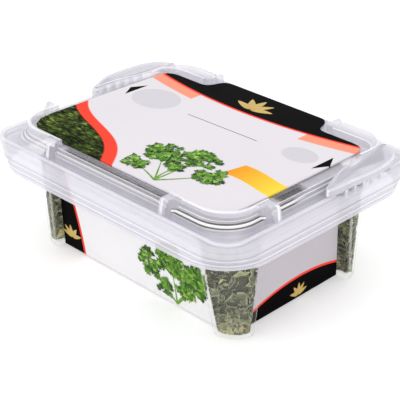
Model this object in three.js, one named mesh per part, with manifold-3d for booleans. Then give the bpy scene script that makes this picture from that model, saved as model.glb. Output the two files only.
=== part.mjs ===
// Lidded tub of dried parsley flakes: a clear tub on four hollow corner legs,
// a snap lid with stacking lugs and two seal tabs, printed labels, and the flakes inside.
// Millimetres, +Z up, table at z = 0, length along X, the photographed long side faces -Y.

import * as THREE from 'three';
import { mergeVertices } from 'three/addons/utils/BufferGeometryUtils.js';
import Module from 'manifold-3d';

const wasm = await Module();
wasm.setup();

// Driving dimensions

const LID_HALF_LENGTH = 53.0;
const LID_HALF_WIDTH = 44.3;
const SKIRT_BOTTOM = 30.9;
const RIM_TOP = 40.6;
const GUTTER_FLOOR = 38.3;
const PLATEAU_TOP = 43.1;
const LUG_TOP = 45.5;
const LID_THICKNESS = 1.0;
const PLATEAU_INSET = 6.5;
const CORNER_STEPS = 7;
const REACH = 60; // farther out than any point of the tub

const WALL = 1.0;
const FLANGE_TOP = 36.9;
const FLANGE_UNDERSIDE = 35.7;
const FLANGE_HALF_LENGTH = 50.6;
const FLANGE_HALF_WIDTH = 42.0;
const FLANGE_CORNER = 14.0;
const FLOOR_UNDERSIDE = 0.8;
const FLOOR_TOP = 1.9;
const LEG_FLOOR_TOP = 1.1;
const LEG_STEPS = 6;

// How far the raised corner walls and blocks are cut back from the middle of each side
const FRONT_LUG_START = 24;
const BACK_LEFT_LUG_START = 29;
const BACK_RIGHT_LUG_START = 27.5;
const SIDE_FRONT_LUG_END = -20;
const SIDE_BACK_LUG_START = 22;

const LABEL_THICKNESS = 0.5;
const LABEL_GAP = 0.3;
const SIDE_LABEL_BOTTOM = 0.6;
const SIDE_LABEL_TOP = 33.0;

const FILL_TOP = 33.0;
const FILL_GAP = 0.35;
const FLAKE_STAND = 0.9;
const FLAKE_THICKNESS = 0.65;
const FLAKE_COUNT = 90;

// Half sizes of the tub's outside at a height: legs, cheeks and side panels

function tubSizes(z) {
  return {
    legX: 45.3 + 0.015 * z,
    legY: 30.9 + 0.168 * z,
    edgeX: 36.4 - 0.122 * z,
    edgeY: 22.85 - 0.089 * z,
    panelX: 39.95 + 0.015 * z,
    panelY: 26.75 + 0.168 * z,
  };
}

// Solids from rings of points

function toManifold(geometry) {
  const bare = geometry.clone();
  bare.deleteAttribute('normal');
  bare.deleteAttribute('uv');
  const merged = mergeVertices(bare, 1e-5);
  return new wasm.Manifold(new wasm.Mesh({
    numProp: 3,
    vertProperties: new Float32Array(merged.attributes.position.array),
    triVerts: new Uint32Array(merged.index.array),
  }));
}

function fromPoints(positions, indices) {
  const geometry = new THREE.BufferGeometry();
  geometry.setAttribute('position', new THREE.Float32BufferAttribute(positions.flat(), 3));
  geometry.setIndex(indices);
  return toManifold(geometry);
}

// Triangles that close a flat ring, facing up
function capFaces(ring) {
  const contour = ring.map(([x, y]) => new THREE.Vector2(x, y));
  return THREE.ShapeUtils.triangulateShape(contour, []);
}

// Stack of closed rings, counterclockwise seen from above, listed from the top down
function loft(rings) {
  const count = rings[0].length;
  const positions = rings.flat();
  const indices = [];
  for (let level = 0; level + 1 < rings.length; level += 1) {
    for (let i = 0; i < count; i += 1) {
      const next = (i + 1) % count;
      const upper = level * count;
      const lower = upper + count;
      indices.push(upper + i, lower + i, lower + next);
      indices.push(upper + i, lower + next, upper + next);
    }
  }
  const last = (rings.length - 1) * count;
  capFaces(rings[0]).forEach(([a, b, c]) => indices.push(a, b, c));
  capFaces(rings[rings.length - 1]).forEach(([a, b, c]) => indices.push(last + a, last + c, last + b));
  return fromPoints(positions, indices);
}

// Rings joined in a loop, the last to the first, as a closed frame
function frameOf(rings) {
  const count = rings[0].length;
  const indices = [];
  for (let level = 0; level < rings.length; level += 1) {
    const upper = level * count;
    const lower = ((level + 1) % rings.length) * count;
    for (let i = 0; i < count; i += 1) {
      const next = (i + 1) % count;
      indices.push(upper + i, lower + i, lower + next);
      indices.push(upper + i, lower + next, upper + next);
    }
  }
  return fromPoints(rings.flat(), indices);
}

function box(x0, x1, y0, y1, z0, z1) {
  const geometry = new THREE.BoxGeometry(x1 - x0, y1 - y0, z1 - z0);
  geometry.translate((x0 + x1) / 2, (y0 + y1) / 2, (z0 + z1) / 2);
  return toManifold(geometry);
}

function roundedRing(halfX, halfY, radius, z) {
  const ring = [];
  for (let corner = 0; corner < 4; corner += 1) {
    const signX = corner === 0 || corner === 3 ? 1 : -1;
    const signY = corner < 2 ? 1 : -1;
    for (let i = 0; i <= CORNER_STEPS; i += 1) {
      const angle = (corner + i / CORNER_STEPS) * Math.PI / 2;
      ring.push([
        signX * (halfX - radius) + radius * Math.cos(angle),
        signY * (halfY - radius) + radius * Math.sin(angle),
        z,
      ]);
    }
  }
  return ring;
}

// Outline of the tub at a height: in each quarter a cheek, the round leg, a cheek
function tubRing(z, inset) {
  const size = tubSizes(z);
  const cheekLean = 0.6;
  const quarter = [[size.panelX - inset, size.edgeY - cheekLean - inset]];
  for (let i = 0; i <= LEG_STEPS; i += 1) {
    const angle = (i / LEG_STEPS) * Math.PI / 2;
    quarter.push([
      size.edgeX - inset + (size.legX - size.edgeX) * Math.cos(angle),
      size.edgeY - inset + (size.legY - size.edgeY) * Math.sin(angle),
    ]);
  }
  quarter.push([size.edgeX - cheekLean - inset, size.panelY - inset]);
  const ring = quarter.map(([x, y]) => [x, y, z]);
  [...quarter].reverse().forEach(([x, y]) => ring.push([-x, y, z]));
  quarter.forEach(([x, y]) => ring.push([-x, -y, z]));
  [...quarter].reverse().forEach(([x, y]) => ring.push([x, -y, z]));
  return ring;
}

// Inside of the tub: the cheeks keep the wall thickness, so a leg's hollow is narrower than the leg
function hollowRing(z, inset) {
  const size = tubSizes(z);
  const quarter = [[size.panelX - inset, size.edgeY + inset * 0.6]];
  for (let i = 0; i <= LEG_STEPS; i += 1) {
    const angle = (i / LEG_STEPS) * Math.PI / 2;
    quarter.push([
      size.edgeX + inset * 0.6 + (size.legX - size.edgeX - inset * 1.6) * Math.cos(angle),
      size.edgeY + inset * 0.6 + (size.legY - size.edgeY - inset * 1.6) * Math.sin(angle),
    ]);
  }
  quarter.push([size.edgeX + inset * 0.6, size.panelY - inset]);
  const ring = quarter.map(([x, y]) => [x, y, z]);
  [...quarter].reverse().forEach(([x, y]) => ring.push([-x, y, z]));
  quarter.forEach(([x, y]) => ring.push([-x, -y, z]));
  [...quarter].reverse().forEach(([x, y]) => ring.push([x, -y, z]));
  return ring;
}

// Rings at even steps from a height down to another, so the narrowing legs stay smooth
function levelsOf(ringAt, top, bottom, inset) {
  const steps = 3;
  return Array.from({ length: steps + 1 }, (_, i) => ringAt(top + (bottom - top) * i / steps, inset));
}

// Tub

function buildTub() {
  const body = loft([
    ...levelsOf(tubRing, FLANGE_TOP, 1.2, 0),
    tubRing(0.4, 0.35),
    tubRing(0, 1.0),
  ]);
  const flange = loft([
    roundedRing(FLANGE_HALF_LENGTH, FLANGE_HALF_WIDTH, FLANGE_CORNER, FLANGE_TOP),
    roundedRing(FLANGE_HALF_LENGTH, FLANGE_HALF_WIDTH, FLANGE_CORNER, FLANGE_UNDERSIDE),
  ]);
  const hollow = loft(levelsOf(hollowRing, FLANGE_TOP + 1, LEG_FLOOR_TOP, WALL));
  const raisedFloorX = 35.0;
  const raisedFloorY = 21.6;
  const floorLong = box(-raisedFloorX, raisedFloorX, -REACH, REACH, 0.2, FLOOR_TOP);
  const floorWide = box(-REACH, REACH, -raisedFloorY, raisedFloorY, 0.2, FLOOR_TOP);
  const floor = floorLong.add(floorWide).intersect(body);
  const underLong = box(-raisedFloorX, raisedFloorX, -REACH, REACH, -1, FLOOR_UNDERSIDE);
  const underWide = box(-REACH, REACH, -raisedFloorY, raisedFloorY, -1, FLOOR_UNDERSIDE);
  const recess = underLong.add(underWide);
  return body.add(flange).subtract(hollow).add(floor).subtract(recess);
}

// Lid

// Ring set in by a distance from the lid's outer edge
function lidRing(inset, radius, z) {
  return roundedRing(LID_HALF_LENGTH - inset, LID_HALF_WIDTH - inset * 0.94, radius, z);
}

// Outside of the lid as rings of inset, corner radius and height, from the flat top down:
// the edge with its two fine grooves, the gutter, the rounded rim, the skirt with its two beads
function lidOutside() {
  return loft([
    lidRing(PLATEAU_INSET + 0.5, 10.5, PLATEAU_TOP),
    lidRing(PLATEAU_INSET, 11.0, PLATEAU_TOP - 0.2),
    lidRing(6.1, 11.2, PLATEAU_TOP - 1.0),
    lidRing(5.6, 11.2, PLATEAU_TOP - 1.1),
    lidRing(5.4, 11.0, PLATEAU_TOP - 2.0),
    lidRing(4.9, 10.8, PLATEAU_TOP - 2.1),
    lidRing(4.1, 9.5, GUTTER_FLOOR),
    lidRing(2.9, 6.4, GUTTER_FLOOR),
    lidRing(2.4, 6.6, RIM_TOP - 0.4),
    lidRing(1.8, 6.8, RIM_TOP),
    lidRing(1.1, 7.4, RIM_TOP - 0.4),
    lidRing(0.8, 8.2, RIM_TOP - 1.5),
    lidRing(0.6, 12.5, 34.9),
    lidRing(0.1, 13.2, 34.4),
    lidRing(0.5, 13.8, 33.9),
    lidRing(0.5, 14.8, 33.0),
    lidRing(0.05, 15.4, 32.5),
    lidRing(0.4, 16.0, 32.0),
    lidRing(0.0, 17.0, SKIRT_BOTTOM),
  ]);
}

// Hollow under the lid: it follows the outside one wall thickness in, and runs out at the bottom
function lidInside() {
  return loft([
    lidRing(7.4, 9.6, PLATEAU_TOP - LID_THICKNESS),
    lidRing(6.1, 9.8, PLATEAU_TOP - 1.8),
    lidRing(5.0, 8.8, GUTTER_FLOOR - LID_THICKNESS),
    lidRing(2.0, 8.0, GUTTER_FLOOR - LID_THICKNESS),
    lidRing(1.6, 12.0, 34.9),
    lidRing(1.1, 16.2, SKIRT_BOTTOM),
    lidRing(1.1, 16.2, SKIRT_BOTTOM - 1),
  ]);
}

// Thin stacking wall that follows the plateau's two front corners
function frontLugs() {
  const wall = frameOf([
    roundedRing(46.6, 38.2, 11.0, PLATEAU_TOP - 0.5),
    roundedRing(45.2, 36.6, 9.7, PLATEAU_TOP - 0.5),
    roundedRing(45.2, 36.6, 9.7, LUG_TOP),
    roundedRing(46.1, 37.6, 10.5, LUG_TOP),
  ]);
  const left = box(-REACH, -FRONT_LUG_START, -REACH, SIDE_FRONT_LUG_END, GUTTER_FLOOR, REACH);
  const right = box(FRONT_LUG_START, REACH, -REACH, SIDE_FRONT_LUG_END, GUTTER_FLOOR, REACH);
  return wall.intersect(left.add(right));
}

// Broader stacking blocks at the two back corners
function backLugs() {
  const block = frameOf([
    roundedRing(47.1, 38.8, 11.0, PLATEAU_TOP - 0.9),
    roundedRing(44.9, 29.8, 4.5, PLATEAU_TOP - 0.4),
    roundedRing(45.3, 31.4, 5.5, LUG_TOP),
    roundedRing(46.0, 37.4, 10.0, LUG_TOP),
    roundedRing(46.5, 38.0, 10.4, LUG_TOP - 0.5),
  ]);
  const left = box(-REACH, -BACK_LEFT_LUG_START, SIDE_BACK_LUG_START, REACH, GUTTER_FLOOR, REACH);
  const right = box(BACK_RIGHT_LUG_START, REACH, SIDE_BACK_LUG_START, REACH, GUTTER_FLOOR, REACH);
  return block.intersect(left.add(right));
}

// Buttress that crosses the gutter at a lug's end; drawn for the front side at x = 0 and placed
function buttress(innerY, outerY, placeRing) {
  const levels = [
    [LUG_TOP - 0.2, 1.2],
    [LUG_TOP - 0.9, 0.3],
    [RIM_TOP - 0.2, 0],
    [GUTTER_FLOOR - 0.5, 0],
  ];
  const rings = levels.map(([z, pullIn]) => {
    const outer = -(outerY - pullIn);
    const plan = [
      [0, -innerY],
      [0, outer],
      [1.2, outer],
      [1.8, outer + 1.6],
      [3.4, Math.min(-innerY - 1.2, outer + 3.2)],
      [5.2, -innerY - 0.9],
      [5.2, -innerY],
    ];
    return placeRing(plan.map(([x, y]) => [x, y, z]));
  });
  return loft(rings);
}

function buttresses() {
  const along = (start, side) => (ring) => (side > 0
    ? ring.map(([x, y, z]) => [start + x, y, z])
    : ring.map(([x, y, z]) => [-start - x, y, z]).reverse());
  const frontRight = buttress(36.7, 42.3, along(24.0, 1));
  const frontLeft = buttress(36.7, 42.3, along(24.2, -1));
  const sideRight = buttress(45.4, 51.2, (ring) => ring.map(([x, y, z]) => [-y, -20.3 - x, z]).reverse());
  const sideLeft = buttress(45.4, 51.2, (ring) => ring.map(([x, y, z]) => [y, -20.3 - x, z]));
  const backRight = buttress(31.6, 39.6, (ring) => ring.map(([x, y, z]) => [24.4 + x, -y, z]).reverse());
  const backLeft = buttress(31.6, 39.6, (ring) => ring.map(([x, y, z]) => [-26.6 - x, -y, z]));
  return [frontRight, frontLeft, sideRight, sideLeft, backRight, backLeft];
}

// Raised tab over the rim at the back of each short side, held to the rim by thin bridges
function sealTab(side) {
  const outline = [
    [45.4, -3.0],
    [49.4, -3.2],
    [52.4, 1.0],
    [54.4, 7.0],
    [55.1, 16.0],
    [54.7, 25.0],
    [52.6, 31.0],
    [48.4, 34.4],
    [45.4, 34.4],
  ];
  const ringAt = (z, pullIn) => {
    const ring = outline.map(([x, y], i) => {
      const fromMiddle = y - 16;
      const edge = i === 0 || i === outline.length - 1 ? 0 : pullIn;
      return [side * (x - edge), 16 + fromMiddle * (1 - pullIn / 18), z];
    });
    return side > 0 ? ring : ring.reverse();
  };
  const tabTop = LUG_TOP - 0.3;
  const tabBottom = RIM_TOP + 0.4;
  const pad = loft([ringAt(tabTop, 0.9), ringAt(tabTop - 0.6, 0.1), ringAt(tabBottom, 0)]);
  const pocketX = 48.4;
  const pocket = loft([ringAt(tabTop - 1.3, 1.6), ringAt(tabBottom - 1, 1.3)])
    .intersect(side > 0
      ? box(pocketX, REACH, -REACH, REACH, 0, REACH)
      : box(-REACH, -pocketX, -REACH, REACH, 0, REACH));
  let tab = pad.subtract(pocket);
  const bridgeCount = 5;
  const bridgePitch = 4.2;
  const bridgeLength = 1.4;
  const bridgeWidth = 1.2;
  for (let i = 0; i < bridgeCount; i += 1) {
    const y = 5.5 + i * bridgePitch;
    const inner = side > 0 ? 51.3 : -51.3 - bridgeLength;
    tab = tab.add(box(inner, inner + bridgeLength, y, y + bridgeWidth, RIM_TOP - 1.0, tabTop - 1.0));
  }
  return tab;
}

function buildLid() {
  let lid = lidOutside().add(frontLugs()).add(backLugs());
  buttresses().forEach((piece) => {
    lid = lid.add(piece);
  });
  lid = lid.subtract(lidInside());
  return lid.add(sealTab(1)).add(sealTab(-1));
}

// Labels

// Closed outline through corners given as x, y and rounding
function roundedPath(points) {
  const shape = new THREE.Shape();
  points.forEach(([x, y, radius], i) => {
    const before = points[(i + points.length - 1) % points.length];
    const after = points[(i + 1) % points.length];
    const toward = (other) => {
      const length = Math.hypot(other[0] - x, other[1] - y);
      const step = Math.min(radius, length / 2);
      return [x + (other[0] - x) * step / length, y + (other[1] - y) * step / length];
    };
    const start = toward(before);
    const end = toward(after);
    if (i === 0) {
      shape.moveTo(start[0], start[1]);
    } else {
      shape.lineTo(start[0], start[1]);
    }
    shape.quadraticCurveTo(x, y, end[0], end[1]);
  });
  shape.closePath();
  return shape;
}

// Sheet on the plateau: full length, cut in at the two back corners round the lugs
function buildTopLabel() {
  const outline = [
    [-44.2, -35.3, 11],
    [42.6, -35.3, 9],
    [42.6, 29.2, 5],
    [23.2, 29.2, 3],
    [21.2, 36.9, 3],
    [-23.6, 36.9, 3],
    [-25.8, 29.2, 3],
    [-44.2, 29.2, 5],
  ];
  const geometry = new THREE.ExtrudeGeometry(roundedPath(outline), {
    depth: LABEL_THICKNESS,
    bevelEnabled: false,
    curveSegments: 4,
  });
  geometry.translate(0, 0, PLATEAU_TOP + LABEL_GAP);
  return toManifold(geometry);
}

// Flat sheet standing off a leaning side panel; long = a front or back panel
function buildSideLabel(long, sign) {
  const corners = (z, off) => {
    const size = tubSizes(z);
    const half = (long ? size.edgeX : size.edgeY) - 1.1;
    const face = (long ? size.panelY : size.panelX) + off;
    return long
      ? [[-half, sign * face, z], [half, sign * face, z]]
      : [[sign * face, -half, z], [sign * face, half, z]];
  };
  const near = LABEL_GAP;
  const far = LABEL_GAP + LABEL_THICKNESS;
  const ring = (z) => {
    const [a, b] = corners(z, near);
    const [d, c] = corners(z, far);
    return (long ? sign < 0 : sign > 0) ? [b, a, d, c] : [a, b, c, d];
  };
  return loft([ring(SIDE_LABEL_TOP), ring(SIDE_LABEL_BOTTOM)]);
}

// Flakes

// Repeatable random numbers
function makeRandom(seed) {
  let state = seed;
  return () => {
    state = (state * 1664525 + 1013904223) % 4294967296;
    return state / 4294967296;
  };
}

// One curled flake: a kite folded along its middle, with thickness
function flake(length, width, fold, placement) {
  const half = FLAKE_THICKNESS / 2;
  const outline = [
    [-length / 2, 0, 0],
    [0, -width / 2, fold],
    [length / 2, 0, 0],
    [0, width / 2, fold],
  ];
  const points = [];
  outline.forEach(([x, y, z]) => points.push(new THREE.Vector3(x, y, z + half)));
  outline.forEach(([x, y, z]) => points.push(new THREE.Vector3(x, y, z - half)));
  points.forEach((point) => point.applyMatrix4(placement));
  const indices = [0, 1, 2, 0, 2, 3, 4, 6, 5, 4, 7, 6];
  for (let i = 0; i < 4; i += 1) {
    const next = (i + 1) % 4;
    indices.push(i, i + 4, next + 4, i, next + 4, next);
  }
  return fromPoints(points.map((point) => point.toArray()), indices);
}

function buildFill() {
  const coreInset = WALL + FILL_GAP + FLAKE_STAND;
  const coreTop = FILL_TOP - 1.6;
  const coreBottom = FLOOR_TOP + FILL_GAP + 0.8;
  let mass = loft(levelsOf(hollowRing, coreTop, coreBottom, coreInset));
  const random = makeRandom(20931);
  const placement = new THREE.Matrix4();
  const turn = new THREE.Quaternion();
  const spin = new THREE.Quaternion();
  const up = new THREE.Vector3(0, 0, 1);
  for (let i = 0; i < FLAKE_COUNT; i += 1) {
    const onTop = i % 5 < 2;
    const z = onTop ? coreTop : coreBottom + random() * (coreTop - coreBottom);
    const ring = hollowRing(z, coreInset);
    const pick = Math.floor(random() * ring.length);
    const a = ring[pick];
    const b = ring[(pick + 1) % ring.length];
    const share = random();
    let x = a[0] + (b[0] - a[0]) * share;
    let y = a[1] + (b[1] - a[1]) * share;
    const outward = new THREE.Vector3(b[1] - a[1], a[0] - b[0], 0).normalize();
    if (onTop) {
      const shrink = Math.sqrt(random());
      x *= shrink;
      y *= shrink;
      outward.set(0, 0, 1);
    }
    outward.x += (random() - 0.5) * 0.9;
    outward.y += (random() - 0.5) * 0.9;
    outward.z += (random() - 0.5) * 0.9;
    outward.normalize();
    turn.setFromUnitVectors(up, outward);
    spin.setFromAxisAngle(outward, random() * Math.PI * 2);
    turn.premultiply(spin);
    const position = new THREE.Vector3(x, y, z);
    placement.compose(position, turn, new THREE.Vector3(1, 1, 1));
    mass = mass.add(flake(4.5 + random() * 2.5, 2.6 + random() * 1.6, 0.4 + random() * 0.7, placement));
  }
  const room = loft(levelsOf(hollowRing, FILL_TOP, FLOOR_TOP + FILL_GAP, WALL + FILL_GAP));
  return largestShell(mass.intersect(room));
}

// Outermost skin of a solid: leaves out bubbles sealed inside it and loose crumbs
function largestShell(solid) {
  const { vertProperties, triVerts } = solid.getMesh();
  const parent = Array.from({ length: vertProperties.length / 3 }, (_, i) => i);
  const rootOf = (start) => {
    let i = start;
    while (parent[i] !== i) {
      parent[i] = parent[parent[i]];
      i = parent[i];
    }
    return i;
  };
  for (let t = 0; t < triVerts.length; t += 3) {
    parent[rootOf(triVerts[t])] = rootOf(triVerts[t + 1]);
    parent[rootOf(triVerts[t + 1])] = rootOf(triVerts[t + 2]);
  }
  const sizes = new Map();
  for (let t = 0; t < triVerts.length; t += 3) {
    const root = rootOf(triVerts[t]);
    sizes.set(root, (sizes.get(root) || 0) + 1);
  }
  const biggest = [...sizes.entries()].sort((a, b) => b[1] - a[1])[0][0];
  const kept = [];
  for (let t = 0; t < triVerts.length; t += 3) {
    if (rootOf(triVerts[t]) === biggest) {
      kept.push(triVerts[t], triVerts[t + 1], triVerts[t + 2]);
    }
  }
  return new wasm.Manifold(new wasm.Mesh({
    numProp: 3,
    vertProperties,
    triVerts: new Uint32Array(kept),
  }));
}

// Meshes

function toMesh(name, solid, colour, roughness) {
  const { vertProperties, triVerts } = solid.getMesh();
  const geometry = new THREE.BufferGeometry();
  geometry.setAttribute('position', new THREE.BufferAttribute(new Float32Array(vertProperties), 3));
  geometry.setIndex(new THREE.BufferAttribute(new Uint32Array(triVerts), 1));
  geometry.computeVertexNormals();
  const material = new THREE.MeshStandardMaterial({ color: colour, roughness, metalness: 0 });
  const mesh = new THREE.Mesh(geometry, material);
  mesh.name = name;
  return mesh;
}

const part = new THREE.Group();
part.name = 'lidded_tub_of_dried_parsley';
part.add(toMesh('tub', buildTub(), '#dfe0da', 0.2));
part.add(toMesh('lid', buildLid(), '#e4e0e8', 0.35));
part.add(toMesh('top_label', buildTopLabel(), '#e9e6ee', 0.4));
part.add(toMesh('label_front', buildSideLabel(true, -1), '#f1eff4', 0.4));
part.add(toMesh('label_back', buildSideLabel(true, 1), '#f1eff4', 0.4));
part.add(toMesh('label_right', buildSideLabel(false, 1), '#cfc9d2', 0.4));
part.add(toMesh('label_left', buildSideLabel(false, -1), '#cfc9d2', 0.4));
part.add(toMesh('parsley_flakes', buildFill(), '#6c7550', 0.8));

export default part;
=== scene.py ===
"""Looks for a lidded plastic tub of dried parsley flakes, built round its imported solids.

Lengths in the functions are millimetres in the row frame; meshes are written in metres.
"""

import math

import bpy
import numpy as np
from bpy.props import FloatProperty, FloatVectorProperty, IntProperty, PointerProperty
from mathutils import Matrix, Vector


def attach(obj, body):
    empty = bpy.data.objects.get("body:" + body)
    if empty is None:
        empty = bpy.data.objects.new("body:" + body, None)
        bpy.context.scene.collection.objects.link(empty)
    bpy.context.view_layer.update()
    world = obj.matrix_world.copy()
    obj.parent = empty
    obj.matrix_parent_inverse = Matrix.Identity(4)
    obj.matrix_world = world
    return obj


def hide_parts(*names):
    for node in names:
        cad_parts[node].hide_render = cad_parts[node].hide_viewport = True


bl_info = {
    "name": "Lidded tub of dried parsley",
    "version": (1, 0, 0),
    "blender": (4, 5, 0),
    "location": "View3D > Sidebar > Parsley tub",
    "description": "Builds a clear tub of dried flakes with its lid, printed labels and stage",
    "category": "Object",
}

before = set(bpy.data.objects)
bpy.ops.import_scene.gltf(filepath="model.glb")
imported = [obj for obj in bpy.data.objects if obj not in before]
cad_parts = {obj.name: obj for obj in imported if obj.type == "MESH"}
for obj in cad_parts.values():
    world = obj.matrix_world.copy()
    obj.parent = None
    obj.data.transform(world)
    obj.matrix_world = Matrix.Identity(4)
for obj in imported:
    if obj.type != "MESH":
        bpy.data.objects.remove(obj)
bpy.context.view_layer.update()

MM = 0.001

# Heights of the lid and tub, as in the solids
PLATEAU_TOP = 43.1
LUG_TOP = 45.5
GUTTER_FLOOR = 38.3
RIM_TOP = 40.6
SKIRT_BOTTOM = 30.9
FLANGE_TOP = 36.9
FLANGE_UNDERSIDE = 35.7
FLOOR_TOP = 1.9
FLOOR_UNDERSIDE = 0.8
LEG_FLOOR_TOP = 1.1
LABEL_TOP = 43.9
FILL_TOP = 33.0

# Lines of the tub along x and y: half size at the table, and its change with each mm of height
LEGS = ((45.3, 0.015), (30.9, 0.168))
PANEL_ENDS = ((36.4, -0.122), (22.85, -0.089))
PANELS = ((39.95, 0.015), (26.75, 0.168))
LABEL_REACH = 0.8

# Print laid on the sheets, and points in one flake
INK = 0.02
SCRAP_POINTS = 22

# The photograph's camera: degrees, then mm to the right, up and back from a point on the axis
AZIMUTH, ELEVATION, ROLL = 43.552, 27.960, 1.257
CAMERA_PLACE = (0.475, 17.29, 396.134)
AXIS_POINT = (0, 0, 0.6)
FOCAL_PIXELS, PICTURE_PIXELS, SENSOR_WIDTH = 1194.98, 400.0, 36.0


# Shapes: outlines and profiles worked out as whole arrays


def rounded_rings(half_x, half_y, radius, steps=16):
    """Rounded rectangles, one for each entry: in each corner its centre plus the radius times
    (cos a, sin a), with a running evenly through that corner's quarter turn."""
    half_x, half_y, radius = (np.asarray(v, float)[..., None, None] for v in (half_x, half_y, radius))
    corner = np.arange(4)[:, None]
    angle = (corner + np.linspace(0, 1, steps + 1)) * math.pi / 2
    sign_x = np.where((corner == 0) | (corner == 3), 1.0, -1.0)
    sign_y = np.where(corner < 2, 1.0, -1.0)
    x = sign_x * (half_x - radius) + radius * np.cos(angle)
    y = sign_y * (half_y - radius) + radius * np.sin(angle)
    return np.stack([x, y], -1).reshape(*x.shape[:-2], -1, 2)


def at_heights(outlines, heights):
    """Outlines (rows, points, 2) given one height a row."""
    heights = np.broadcast_to(np.asarray(heights, float)[:, None, None], outlines.shape[:-1] + (1,))
    return np.concatenate([outlines, heights], -1)


def soften(points, reach, closed=True, steps=4):
    """A polyline with rounded corners: each corner P becomes the curve
    (1-t)^2 A + 2t(1-t) P + t^2 B, where A and B lie on its two sides at the reach from P."""
    points = np.asarray(points, float)
    reach = np.broadcast_to(np.asarray(reach, float), points.shape[:-1])[..., None]
    before, after = np.roll(points, 1, -2), np.roll(points, -1, -2)

    def toward(other):
        length = np.linalg.norm((other - points)[..., :2], axis=-1, keepdims=True)
        return points + (other - points) * np.minimum(reach, length * 0.49) / np.maximum(length, 1e-9)

    t = np.linspace(0, 1, steps + 1)[:, None]
    start, middle, end = (v[..., None, :] for v in (toward(before), points, toward(after)))
    curve = (1 - t) ** 2 * start + 2 * t * (1 - t) * middle + t**2 * end
    if closed:
        return curve.reshape(*points.shape[:-2], -1, points.shape[-1])
    inner = curve[..., 1:-1, :, :].reshape(*points.shape[:-2], -1, points.shape[-1])
    return np.concatenate([points[..., :1, :], inner, points[..., -1:, :]], -2)


def skin(rings):
    """Surface over rings of points (rows, points, 3): a quad between each two neighbours on
    neighbouring rings, with the first and last ring closed flat."""
    rows, count = rings.shape[:2]
    index = np.arange(rows * count).reshape(rows, count)
    right = np.roll(index, -1, 1)
    quads = np.stack([index[:-1], index[1:], right[1:], right[:-1]], -1).reshape(-1, 4)
    return facing_out(rings.reshape(-1, 3), [quads, index[:1], index[-1:, ::-1]])


def facing_out(vertices, faces):
    """The same surface, turned inside out where its enclosed volume comes out negative:
    the sum over fan triangles of a . (b x c) / 6."""
    volume = 0.0
    for group in faces:
        first = vertices[group[:, 0]]
        for k in range(1, group.shape[1] - 1):
            volume += np.einsum("ij,ij->", first, np.cross(vertices[group[:, k]], vertices[group[:, k + 1]]))
    return vertices, faces if volume > 0 else [group[:, ::-1] for group in faces]


def joined(surfaces):
    """Several surfaces as one."""
    vertices, faces, offset = [], [], 0
    for points, groups in surfaces:
        vertices.append(points)
        faces += [group + offset for group in groups]
        offset += len(points)
    return np.vstack(vertices), faces


def outward_offset(outline, distance):
    """A counterclockwise outline moved outward along its point normals."""
    tangent = np.roll(outline, -1, 0) - np.roll(outline, 1, 0)
    normal = np.stack([tangent[:, 1], -tangent[:, 0]], -1)
    return outline + distance * normal / np.maximum(np.linalg.norm(normal, axis=1, keepdims=True), 1e-9)


def drawn_in(outline, stations):
    """One plan outline at several heights. The stations give each height and its pull inward."""
    heights, pulls = zip(*stations)
    return at_heights(np.stack([outward_offset(outline, -pull) for pull in pulls]), heights)


def slab(outline, low, high, edge=0.12):
    """Flat plate with a plan outline and slightly rounded edges."""
    return skin(drawn_in(outline, [(high, edge), (high - edge, 0), (low + edge, 0), (low, edge)]))


def to_object(name, surface, crease=40.0):
    """Mesh object in metres, smooth except along edges sharper than the crease angle."""
    vertices, faces = surface
    mesh = bpy.data.meshes.new(name)
    mesh.from_pydata((vertices * MM).tolist(), [], [row for group in faces for row in group.tolist()])
    mesh.validate()
    mesh.shade_smooth()
    mesh.set_sharp_from_angle(angle=math.radians(crease))
    piece = bpy.data.objects.new(name, mesh)
    bpy.context.scene.collection.objects.link(piece)
    return piece


def combined(name, base, steps, crease=35.0):
    """One closed solid: the base joined with, or cut by, other surfaces in order."""
    target = to_object(name, base)
    for operation, surface in steps:
        tool = to_object(name + "_tool", surface)
        modifier = target.modifiers.new("join", "BOOLEAN")
        modifier.operation = operation
        modifier.solver = "MANIFOLD"
        modifier.object = tool
        graph = bpy.context.evaluated_depsgraph_get()
        mesh = bpy.data.meshes.new_from_object(target.evaluated_get(graph))
        if not len(mesh.polygons):
            raise RuntimeError(f"{name}: joining a piece of it left nothing")
        target.modifiers.clear()
        target.data = mesh
        bpy.data.meshes.remove(tool.data)
    target.data.name = name
    target.data.shade_smooth()
    target.data.set_sharp_from_angle(angle=math.radians(crease))
    return target


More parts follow.
